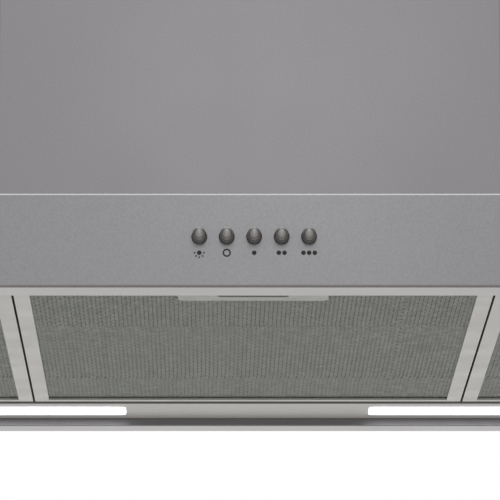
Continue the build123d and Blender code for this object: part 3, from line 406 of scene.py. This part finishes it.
# A cell is a rhombus of the lattice with a diamond opening: ring k runs from the rhombus to the
# opening at share s(k) and height z(k), and cells sit at (i a, j b) and ((i + 1/2) a, (j + 1/2) b).
# A rhombus with no neighbour across a side gets a wall there, so each sheet is a closed shape
def expandedNet(name, side):
    size = netSizes
    low, high = boxOf("filter_net_" + side)
    cupLow, cupHigh = boxOf("filter_handle_" + side)
    middle = (cupLow[0] + cupHigh[0]) / 2
    a, b = size["pitchAcross"], size["pitchDeep"]
    seamsX = (low[0] + size["margin"], middle - size["sheetAcross"] / 2, middle + size["sheetAcross"] / 2,
              high[0] - size["margin"])
    seamsY = (low[1] + size["margin"], low[1] + size["firstSheet"],
              low[1] + size["firstSheet"] + size["sheetDeep"], high[1] - size["rearMargin"])
    cupHalf = (cupHigh[0] - cupLow[0]) / 2 - size["cupInsetAcross"] + size["cupGap"] + a / 2
    cupRear = cupHigh[1] - size["cupInsetDeep"] + size["cupGap"] + b / 2
    corners = np.array([[1, 0], [0, 1], [-1, 0], [0, -1]])
    neighbours = np.array([[1, 1], [-1, 1], [-1, -1], [1, -1]])
    centres, openings, walls = [], [], []
    for m in range(len(seamsX) - 1):  # a sheet at a time
        for n in range(len(seamsY) - 1):
            wide, deep = seamsX[m + 1] - seamsX[m], seamsY[n + 1] - seamsY[n]
            i, j = np.indices((math.ceil(2 * wide / a + 1), math.ceil(2 * deep / b + 1)))
            i, j = i[(i + j) % 2 == 0], j[(i + j) % 2 == 0]
            x = seamsX[m] + i * a / 2 + size["shiftAcross"] * (n % 2)
            y = seamsY[n] + j * b / 2 + size["shiftDeep"] * n
            kept = (x < seamsX[m + 1]) & (y < seamsY[n + 1])
            kept &= ~((np.abs(x - middle) < cupHalf) & (y < cupRear))
            z = np.full(x.shape, low[2] + size["lap"] * ((m + n) % 2))
            centres.append(np.column_stack([x, y, z])[kept])
            openings.append(np.interp(y[kept], seamsY[n:n + 2], size["openingAcross"][n]))
            i, j = i[kept] + 1, j[kept] + 1
            held = np.zeros((i.max() + 2, j.max() + 2), bool)
            held[i, j] = True
            walls.append(~held[i[:, None] + neighbours[:, 0], j[:, None] + neighbours[:, 1]])
    centres, openings = np.concatenate(centres)[:, None, None], np.concatenate(openings)[:, None, None]
    walls = np.concatenate(walls)
    top = high[2] - low[2] - size["lap"]
    share = np.array([0, 0.5, 1, 1, 0])[:, None]
    height = np.array([size["ridge"], 0, size["ridge"], top, top])[:, None]
    lean = np.array([0, 0, size["lean"], 0, 0])[:, None]
    x = centres[..., 0] + corners[:, 0] * (a * (1 - share) + openings * share) / 2
    y = centres[..., 1] + corners[:, 1] * (b * (1 - share) + size["openingDeep"] * share) / 2
    z = centres[..., 2] + height + lean * corners[:, 1].clip(0, 1)
    points = np.stack([x, y, z], -1) * mm
    cell = points[0, ..., 0].size
    cellFaces = ringFaces(len(share) + 1, len(corners))[:, ::-1] % cell
    inner = np.ones((len(walls), cell - len(corners)), bool)
    faces = (cellFaces + cell * np.arange(len(walls))[:, None, None])[np.hstack([inner, walls])]
    points, merged = np.unique(points.reshape(-1, 3).round(7), axis=0, return_inverse=True)
    return makeMesh(name, points, merged.reshape(-1)[faces])


for side in filterSides:
    net = expandedNet("expandedNet_" + side, side)
    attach(net, "filter_" + side)
    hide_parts("filter_net_" + side)
    wear(finishes["net_aluminium"], net)
    print("net", side, len(net.data.polygons), "faces")


buttonSizes = {
    "steps": 72,            # round each button
    "domeRadius": 2.65,     # of the crowned middle of the face
    "domeRise": 0.6,
    "domeRings": 12,
    "groove": 0.34,         # depth and width of the line turned round the crowned middle
    "shoulderWide": 1.0,    # rounding from face to side
    "shoulderDeep": 1.3,
    "shoulderTurn": 0.46,   # of a half turn
    "shoulderRings": 9,
    "baseRadius": 4.35,
    "collarRadius": 6.0,
    "collarThick": 1.2,
    "collarGap": 3.1,       # from the front panel's face to the collar
    "stemRadius": 2.0,
}


# Each ring of the profile is (distance behind the front, radius), turned a full circle about y:
# (x + r sin t, y, z + r cos t), with one point at each end's middle
def turnedButton(name, node):
    size = buttonSizes
    low, high = boxOf(node)
    panel = boxOf("canopy_shell")[0][1] - low[1]
    long = high[1] - low[1]
    crown, rise = size["domeRadius"], size["domeRise"]
    ball = (crown ** 2 + rise ** 2) / (2 * rise)  # radius of the crown's sphere
    r = np.linspace(0.0, crown, size["domeRings"] + 1)[1:]
    dome = np.column_stack([ball - np.sqrt(ball ** 2 - r ** 2), r])
    rim = crown + size["groove"]
    line = np.array([[rise + size["groove"], crown + size["groove"] / 2], [rise, rim]])
    t = np.linspace(0, size["shoulderTurn"] * np.pi, size["shoulderRings"] + 1)[1:]
    edge = np.column_stack([rise + size["shoulderDeep"] * (1 - np.cos(t)),
                            rim + size["shoulderWide"] * np.sin(t)])
    collar = panel + size["collarGap"]
    rest = np.array([[panel, size["baseRadius"]], [collar, size["baseRadius"]],
                     [collar, size["collarRadius"]], [collar + size["collarThick"], size["collarRadius"]],
                     [collar + size["collarThick"], size["stemRadius"]], [long, size["stemRadius"]]])
    profile = np.concatenate([dome, line, edge, rest])
    steps = size["steps"]
    t = np.arange(steps) * 2 * np.pi / steps
    mid = (low + high) / 2
    x = mid[0] + profile[:, 1:] * np.sin(t)
    z = mid[2] + profile[:, 1:] * np.cos(t)
    y = np.broadcast_to(low[1] + profile[:, :1], x.shape)
    points = np.stack([x, y, z], 2).reshape(-1, 3)
    poles = np.array([[mid[0], low[1], mid[2]], [mid[0], high[1], mid[2]]])
    q = np.arange(steps)
    n = (q + 1) % steps
    first = np.column_stack([np.full(steps, len(points)), n, q])
    lastRing = (len(profile) - 1) * steps
    last = np.column_stack([np.full(steps, len(points) + 1), lastRing + q, lastRing + n])
    faces = [*ringFaces(len(profile), steps), *first, *last]
    piece = makeMesh(name, np.concatenate([points, poles]) * mm, faces, smooth=True)
    turned = len(profile) - len(rest)
    creased = [*range(len(dome) - 1, len(dome) + 2), *range(turned + 1, len(profile) - 1)]
    ends = np.empty(len(piece.data.edges) * 2, int)
    piece.data.edges.foreach_get("vertices", ends)
    ring = ends.reshape(-1, 2) // steps
    sharp = piece.data.attributes.new("sharp_edge", "BOOLEAN", "EDGE")
    sharp.data.foreach_set("value", (ring[:, 0] == ring[:, 1]) & np.isin(ring[:, 0], creased))
    return piece


for name in buttonNames:
    button = turnedButton("turnedButton_" + name, "button_" + name)
    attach(button, "button_" + name + "_body")
    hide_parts("button_" + name)
    wear(finishes["button_metal"], button)
print("buttons made")


coilSizes = {
    "wire": 0.5,            # diameter
    "buttonTurns": 5,
    "latchTurns": 6,
    "steps": 28,            # along one turn
    "round": 8,             # round the wire
}


# The wire's middle is (x + R cos a, y, z + R sin a) with y in step with a, and the wire a circle
# about it, in the plane across its run
def coilSpring(name, x, z, near, far, radius, turns):
    size = coilSizes
    wire, count = size["wire"] / 2, size["round"]
    bend = radius - wire
    a = np.linspace(0, 2 * np.pi * turns, turns * size["steps"] + 1)
    rise = (far - near - 2 * wire) / (2 * np.pi * turns)
    out = np.column_stack([np.cos(a), np.zeros(len(a)), np.sin(a)])
    middle = (x, near + wire, z) + bend * out + np.outer(a, (0, rise, 0))
    along = np.column_stack([-bend * np.sin(a), np.full(len(a), rise), bend * np.cos(a)])
    along /= np.linalg.norm(along, axis=1)[:, None]
    across = np.cross(along, out)
    t = np.arange(count) * 2 * np.pi / count
    points = middle[:, None] + wire * (np.cos(t)[:, None] * out[:, None]
                                       + np.sin(t)[:, None] * across[:, None])
    around = ringFaces(len(a), count)
    start = np.arange(count)[::-1]
    end = (len(a) - 1) * count + np.arange(count)
    smooth = np.arange(len(around) + 2) < len(around)  # the two cut ends are flat
    return makeMesh(name, points * mm, [*around, start, end], smooth)


# A spring coiled from its node's near end to its far end, hung on its body in place of the node
def addSpring(name, x, z, low, high, radius, turns, body, node):
    spring = coilSpring(name, x, z, low, high, radius, turns)
    wear(finishes["spring_steel"], spring)
    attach(spring, body)
    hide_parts(node)
    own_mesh(spring)


low, high = boxOf("button_springs")
for name in buttonNames:
    addSpring("buttonSpring_" + name, buttonAcross[name], (low[2] + high[2]) / 2, low[1], high[1],
              (high[2] - low[2]) / 2, coilSizes["buttonTurns"], "canopy", "button_springs")
for side in filterSides:
    low, high = boxOf("latch_spring_" + side)
    addSpring("latchSpring_" + side, (low[0] + high[0]) / 2, (low[2] + high[2]) / 2, low[1], high[1],
              (high[0] - low[0]) / 2, coilSizes["latchTurns"], "filter_" + side, "latch_spring_" + side)
print("springs made")


symbolSizes = {
    "height": 20.4,         # above the rim
    "dots": {"light": 1, "low": 1, "medium": 2, "high": 3},
    "dotRadius": 1.35,
    "dotSpacing": 3.3,
    "dotSteps": 28,
    "ringOuter": 2.45,
    "ringInner": 1.55,
    "ringSteps": 24,
    "rayAngles": (180, 225, 270, 315, 360),
    "rayNear": 2.2,
    "rayLength": 1.0,
    "rayWidth": 0.9,
    "thickness": 0.03,      # of the ink
}
inkPoints, inkFaces = [], []


# Points (x, z) on the front panel, each lifted off it by no layer or one layer of ink
def layInk(flat, layers, faces):
    start = sum(len(points) for points in inkPoints)
    y = boxOf("canopy_shell")[0][1] - layers * symbolSizes["thickness"]
    inkPoints.append(np.column_stack([flat[:, 0], y, flat[:, 1]]) * mm)
    inkFaces.extend(start + np.asarray(face) for face in faces)


def inkPatch(outline):  # a filled outline: its wall, its printed face and its back
    ring = np.arange(len(outline))
    faces = [*ringFaces(2, len(ring)), len(ring) + ring, ring[::-1]]
    layInk(np.tile(outline, (2, 1)), np.repeat([0, 1], len(ring)), faces)


def circle(x, z, radius, steps):  # (x + r cos a, z + r sin a)
    a = np.linspace(0, 2 * np.pi, steps, endpoint=False)
    return np.column_stack([x + radius * np.cos(a), z + radius * np.sin(a)])


def inkRing(x, z, outer, inner, steps):  # outer wall, printed face, inner wall and back, run round
    rings = [circle(x, z, radius, steps) for radius in (outer, outer, inner, inner)]
    faces = ringFaces(len(rings) + 1, steps) % (len(rings) * steps)
    layInk(np.concatenate(rings), np.repeat([0, 1, 1, 0], steps), faces)


def drawSymbols():  # a lamp with rays, a ring, and one, two and three dots
    size = symbolSizes
    z = size["height"]
    for angle in size["rayAngles"]:
        a = math.radians(angle)
        away, across = np.array([math.cos(a), math.sin(a)]), np.array([-math.sin(a), math.cos(a)])
        near, far, half = size["rayNear"], size["rayNear"] + size["rayLength"], size["rayWidth"] / 2
        corners = np.array([[near, -half], [far, -half], [far, half], [near, half]])
        inkPatch(np.array([buttonAcross["light"], z]) + corners[:, :1] * away + corners[:, 1:] * across)
    inkRing(buttonAcross["off"], z, size["ringOuter"], size["ringInner"], size["ringSteps"])
    for name, dots in size["dots"].items():
        for k in range(dots):
            x = buttonAcross[name] + (k - (dots - 1) / 2) * size["dotSpacing"]
            inkPatch(circle(x, z, size["dotRadius"], size["dotSteps"]))


drawSymbols()
symbols = makeMesh("printedSymbols", np.concatenate(inkPoints), inkFaces)
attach(symbols, "canopy")
# screen-printed ink: black and matt, with the mesh's slight tooth
wear(mouldedPlastic("printedBlackInk", "141414", 0.6, 0.5), symbols)
print("symbols made")


studio = {
    "floorHeight": -1500.0,
    "floorSize": 8000.0,
    "floorColor": "f2ece3",
    "floorRoughness": 0.9,
    "fill": 0.6,            # world strength for diffuse light, 1 where it is seen or mirrored
    "lamps": [              # place, size and power in watts
        ("stripPanel", (30.0, -1700.0, 760.0), (160.0, 1100.0), 1.0),
        ("overheadPanel", (0.0, -650.0, 2900.0), (1800.0, 3300.0), 42.0),
    ],
    "aim": (0.0, -250.0, 150.0),
}


def buildFloor():
    half = studio["floorSize"] / 2 * mm
    corners = np.array([[-half, -half], [half, -half], [half, half], [-half, half]])
    points = np.column_stack([corners, np.full(len(corners), studio["floorHeight"] * mm)])
    floor = makeMesh("studioFloor", points, np.array([[0, 1, 2, 3]]))
    material, tree, output = newMaterial("palePaperFloor")
    shader = addNode(tree, "BsdfPrincipled", {"Base Color": linearColor(studio["floorColor"]),
                                              "Roughness": studio["floorRoughness"]})
    below = addNode(tree, "NewGeometry").outputs["Backfacing"]
    clear = addNode(tree, "BsdfTransparent")
    mixed = addNode(tree, "MixShader", {0: below, 1: shader.outputs["BSDF"], 2: clear.outputs["BSDF"]})
    tree.links.new(mixed.outputs["Shader"], output.inputs["Surface"])  # clear from below
    wear(material, floor)


def buildWorld():  # white where it is seen, mirrored or seen through, and weaker as light
    world = bpy.data.worlds.new("paleStudio")
    bpy.context.scene.world = world
    world.use_nodes = True
    tree = world.node_tree
    tree.nodes.clear()
    path = addNode(tree, "LightPath")
    seen = addNode(tree, "Math", {0: path.outputs["Is Camera Ray"], 1: path.outputs["Is Glossy Ray"]},
                   operation="MAXIMUM")
    seen = addNode(tree, "Math", {0: seen.outputs["Value"], 1: path.outputs["Is Transmission Ray"]},
                   operation="MAXIMUM")
    strength = addNode(tree, "MapRange", {"Value": seen.outputs["Value"], "To Min": studio["fill"],
                                          "To Max": 1.0})
    sky = addNode(tree, "Background", {"Color": (1, 1, 1, 1), "Strength": strength.outputs["Result"]})
    addNode(tree, "OutputWorld", {"Surface": sky.outputs["Background"]})


def hangLamps():  # each lamp faces the aim: tilted by its angle from straight down, then turned
    for name, place, size, power in studio["lamps"]:
        light = bpy.data.lights.new(name, "AREA")
        light.shape = "RECTANGLE"
        light.size, light.size_y = (side * mm for side in size)
        light.energy = power
        lamp = bpy.data.objects.new(name, light)
        bpy.context.scene.collection.objects.link(lamp)
        lamp.location = [v * mm for v in place]
        away = np.array(studio["aim"]) - np.array(place)
        tilt = math.acos(-away[2] / np.linalg.norm(away))
        lamp.rotation_euler = (tilt, 0, math.atan2(away[1], away[0]) - math.pi / 2)


view = {
    "place": (-28.88, -3116.3, -528.7),
    "pitch": 12.0,          # degrees upwards
    "focal": 4588.83,       # in pixels of the photograph
    "centre": (204.64, 241.01),
    "pixels": 500,
    "sensor": 36.0,
}


def setCamera():
    lens = bpy.data.cameras.new("camera")
    lens.sensor_width = view["sensor"]
    lens.lens = view["focal"] / view["pixels"] * view["sensor"]
    lens.shift_x = (view["pixels"] / 2 - view["centre"][0]) / view["pixels"]
    lens.shift_y = (view["centre"][1] - view["pixels"] / 2) / view["pixels"]
    camera = bpy.data.objects.new("camera", lens)
    bpy.context.scene.collection.objects.link(camera)
    camera.location = [v * mm for v in view["place"]]
    camera.rotation_euler = (math.radians(90 + view["pitch"]), 0, 0)
    bpy.context.scene.camera = camera
    bpy.context.scene.view_settings.view_transform = "Standard"


buildFloor()
buildWorld()
hangLamps()
setCamera()
print("studio and camera set")
